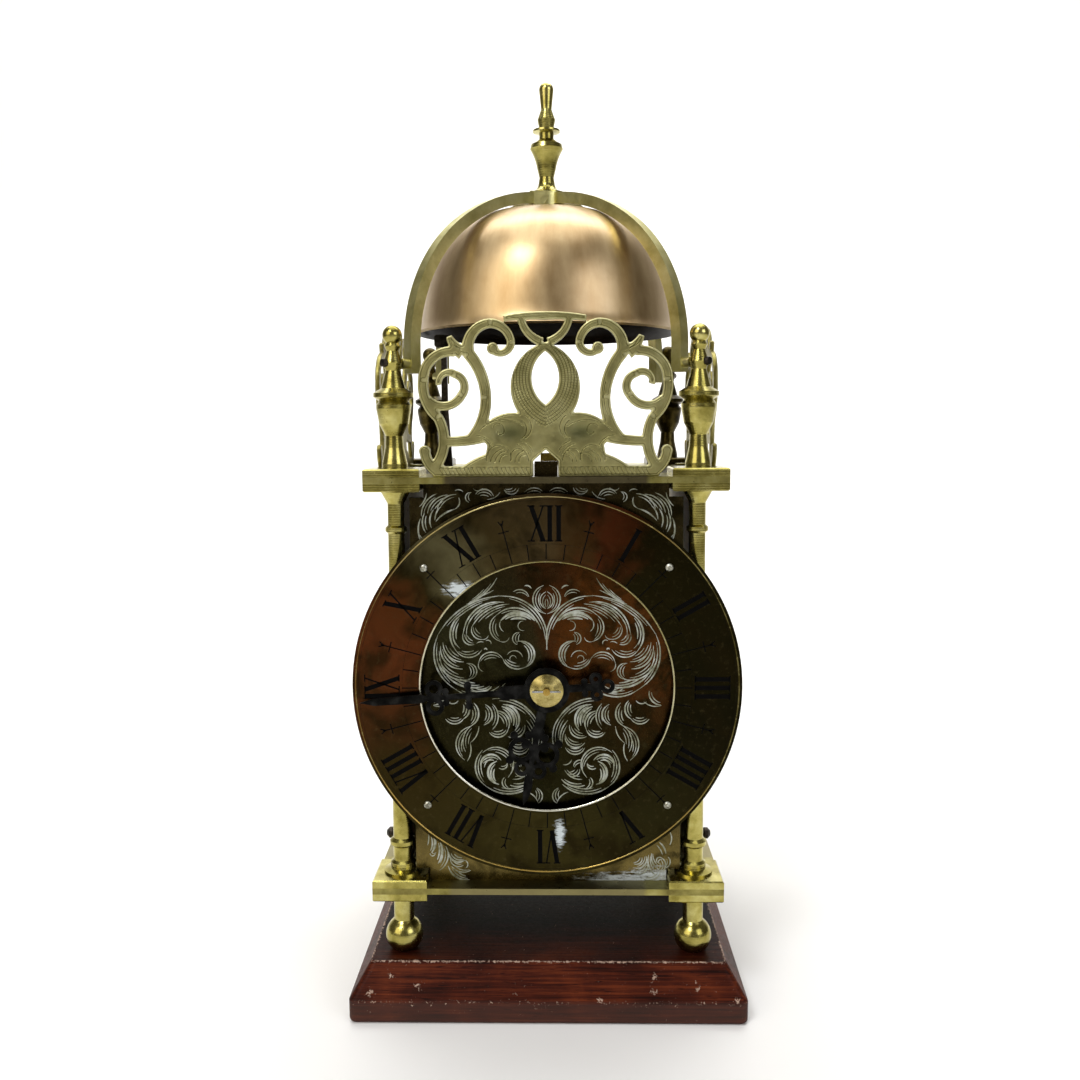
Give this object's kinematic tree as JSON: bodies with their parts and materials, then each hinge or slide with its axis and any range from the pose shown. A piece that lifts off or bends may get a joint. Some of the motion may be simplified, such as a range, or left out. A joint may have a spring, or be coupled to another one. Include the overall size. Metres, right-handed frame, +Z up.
{
  "type": "lantern clock",
  "caption": "Brass lantern clock on a canted wooden plinth: posted frame, bell under crossed straps, dolphin frets, broad hour ring, two hands and a two-train movement.",
  "frame": {"origin": "centre of the plinth's underside", "axes": "+Z up, the dial faces -Y, +X to the right seen from the front"},
  "size_m": [0.1706, 0.1706, 0.4113],
  "materials": {
    "plinth_wood": "dark red-brown french-polished hardwood, worn at the edges",
    "frame_brass": "polished pale yellow brass",
    "bell_bronze": "polished pinkish bell metal",
    "dial_brass": "engraved brass, darkened between the scrolls",
    "ring_brass": "polished engraved brass ring with black-filled numerals",
    "panel_brass": "plain sheet brass",
    "dark_steel": "dark steel",
    "blued_steel": "blue-black steel",
    "collet_brass": "turned brass",
    "bright_steel": "bright steel",
    "wheel_brass": "lacquered wheel brass"
  },
  "bodies": {
    "frame": {"plinth": "plinth_wood", "bottom_plate": "frame_brass", "top_plate": "frame_brass", "bell_strap": "frame_brass", "front_fret": "frame_brass", "left_fret": "frame_brass", "right_fret": "frame_brass", "bell_finial": "frame_brass", "front_left_foot": "frame_brass", "front_left_pillar": "frame_brass", "front_left_finial": "frame_brass", "front_right_foot": "frame_brass", "front_right_pillar": "frame_brass", "front_right_finial": "frame_brass", "rear_left_foot": "frame_brass", "rear_left_pillar": "frame_brass", "rear_left_finial": "frame_brass", "rear_right_foot": "frame_brass", "rear_right_pillar": "frame_brass", "rear_right_finial": "frame_brass", "bell": "bell_bronze", "dial_plate": "dial_brass", "chapter_ring": "ring_brass", "back_cover": "panel_brass", "strap_screws": "dark_steel", "bell_nut": "dark_steel", "hammer_spring": "dark_steel", "movement_brackets": "bright_steel", "front_movement_plate": "wheel_brass", "rear_movement_plate": "wheel_brass", "movement_pillars": "wheel_brass"},
    "minute_work": {"minute_hand": "blued_steel", "centre_wheel": "wheel_brass", "cannon_pinion": "wheel_brass", "hand_collet": "collet_brass", "hand_pin": "bright_steel"},
    "hour_work": {"hour_hand": "blued_steel", "hour_wheel": "wheel_brass"},
    "minute_wheel": {"minute_wheel": "wheel_brass"},
    "going_barrel": {"going_barrel": "wheel_brass"},
    "third_wheel": {"third_wheel": "wheel_brass"},
    "fourth_wheel": {"fourth_wheel": "wheel_brass"},
    "escape_wheel": {"escape_wheel": "wheel_brass"},
    "pallet_lever": {"pallet_lever": "bright_steel"},
    "balance": {"balance_wheel": "wheel_brass", "hairspring": "bright_steel"},
    "strike_barrel": {"strike_barrel": "wheel_brass"},
    "pin_wheel": {"pin_wheel": "wheel_brass"},
    "warning_wheel": {"warning_wheel": "wheel_brass"},
    "fly": {"fly": "wheel_brass"},
    "going_winding_arbor": {"going_winding_arbor": "bright_steel"},
    "strike_winding_arbor": {"strike_winding_arbor": "bright_steel"},
    "hammer": {"hammer": "dark_steel"},
    "left_door": {"left_door": "panel_brass", "left_door_knob": "dark_steel"},
    "right_door": {"right_door": "panel_brass", "right_door_knob": "dark_steel"}
  },
  "joints": [
    {"name": "minute_spin", "type": "hinge", "parent": "frame", "child": "minute_work", "pos_m": [0, 0, 0.1435], "axis": [0, 1, 0], "continuous": true},
    {"name": "hour_spin", "type": "hinge", "parent": "frame", "child": "hour_work", "pos_m": [0, 0, 0.1435], "axis": [0, 1, 0], "continuous": true},
    {"name": "minute_wheel_spin", "type": "hinge", "parent": "frame", "child": "minute_wheel", "pos_m": [0, 0, 0.1195], "axis": [0, 1, 0], "continuous": true},
    {"name": "going_barrel_spin", "type": "hinge", "parent": "frame", "child": "going_barrel", "pos_m": [0.0252, 0, 0.1313], "axis": [0, 1, 0], "continuous": true},
    {"name": "third_spin", "type": "hinge", "parent": "frame", "child": "third_wheel", "pos_m": [0.01103, 0, 0.1626], "axis": [0, 1, 0], "continuous": true},
    {"name": "fourth_spin", "type": "hinge", "parent": "frame", "child": "fourth_wheel", "pos_m": [0.00082, 0, 0.18026], "axis": [0, 1, 0], "continuous": true},
    {"name": "escape_spin", "type": "hinge", "parent": "frame", "child": "escape_wheel", "pos_m": [0.01563, 0, 0.18565], "axis": [0, 1, 0], "continuous": true},
    {"name": "strike_barrel_spin", "type": "hinge", "parent": "frame", "child": "strike_barrel", "pos_m": [-0.0252, 0, 0.1313], "axis": [0, 1, 0], "continuous": true},
    {"name": "pin_wheel_spin", "type": "hinge", "parent": "frame", "child": "pin_wheel", "pos_m": [-0.03102, 0, 0.15869], "axis": [0, 1, 0], "continuous": true},
    {"name": "warning_spin", "type": "hinge", "parent": "frame", "child": "warning_wheel", "pos_m": [-0.01842, 0, 0.1737], "axis": [0, 1, 0], "continuous": true},
    {"name": "fly_spin", "type": "hinge", "parent": "frame", "child": "fly", "pos_m": [-0.01462, 0, 0.1879], "axis": [0, 1, 0], "continuous": true},
    {"name": "going_winding_spin", "type": "hinge", "parent": "frame", "child": "going_winding_arbor", "pos_m": [0.0252, 0, 0.1313], "axis": [0, 1, 0], "continuous": true},
    {"name": "strike_winding_spin", "type": "hinge", "parent": "frame", "child": "strike_winding_arbor", "pos_m": [-0.0252, 0, 0.1313], "axis": [0, 1, 0], "continuous": true},
    {"name": "pallet_rock", "type": "hinge", "parent": "frame", "child": "pallet_lever", "pos_m": [0.028, 0, 0.18391], "axis": [0, 1, 0], "range_deg": [-5, 5]},
    {"name": "balance_swing", "type": "hinge", "parent": "frame", "child": "balance", "pos_m": [0.0389, 0, 0.18238], "axis": [0, 1, 0], "range_deg": [-135, 135], "stiffness_Nm_per_rad": 0.00004},
    {"name": "hammer_swing", "type": "hinge", "parent": "frame", "child": "hammer", "pos_m": [-0.046, 0, 0.178], "axis": [0, 1, 0], "range_deg": [-0.4, 8], "stiffness_Nm_per_rad": 0.15},
    {"name": "left_door_hinge", "type": "hinge", "parent": "frame", "child": "left_door", "pos_m": [-0.06325, 0.0502, 0], "axis": [0, 0, -1], "range_deg": [0, 90]},
    {"name": "right_door_hinge", "type": "hinge", "parent": "frame", "child": "right_door", "pos_m": [0.06325, 0.0502, 0], "axis": [0, 0, 1], "range_deg": [0, 90]}
  ],
  "couplings": [
    {"joint": "hour_spin", "follows": "minute_spin", "ratio": 0.083333},
    {"joint": "minute_wheel_spin", "follows": "minute_spin", "ratio": -0.33333},
    {"joint": "going_barrel_spin", "follows": "minute_spin", "ratio": -0.16667},
    {"joint": "third_spin", "follows": "minute_spin", "ratio": -8},
    {"joint": "fourth_spin", "follows": "minute_spin", "ratio": 60},
    {"joint": "escape_spin", "follows": "minute_spin", "ratio": -480},
    {"joint": "pin_wheel_spin", "follows": "strike_barrel_spin", "ratio": -6},
    {"joint": "warning_spin", "follows": "strike_barrel_spin", "ratio": 36},
    {"joint": "fly_spin", "follows": "strike_barrel_spin", "ratio": -216}
  ]
}
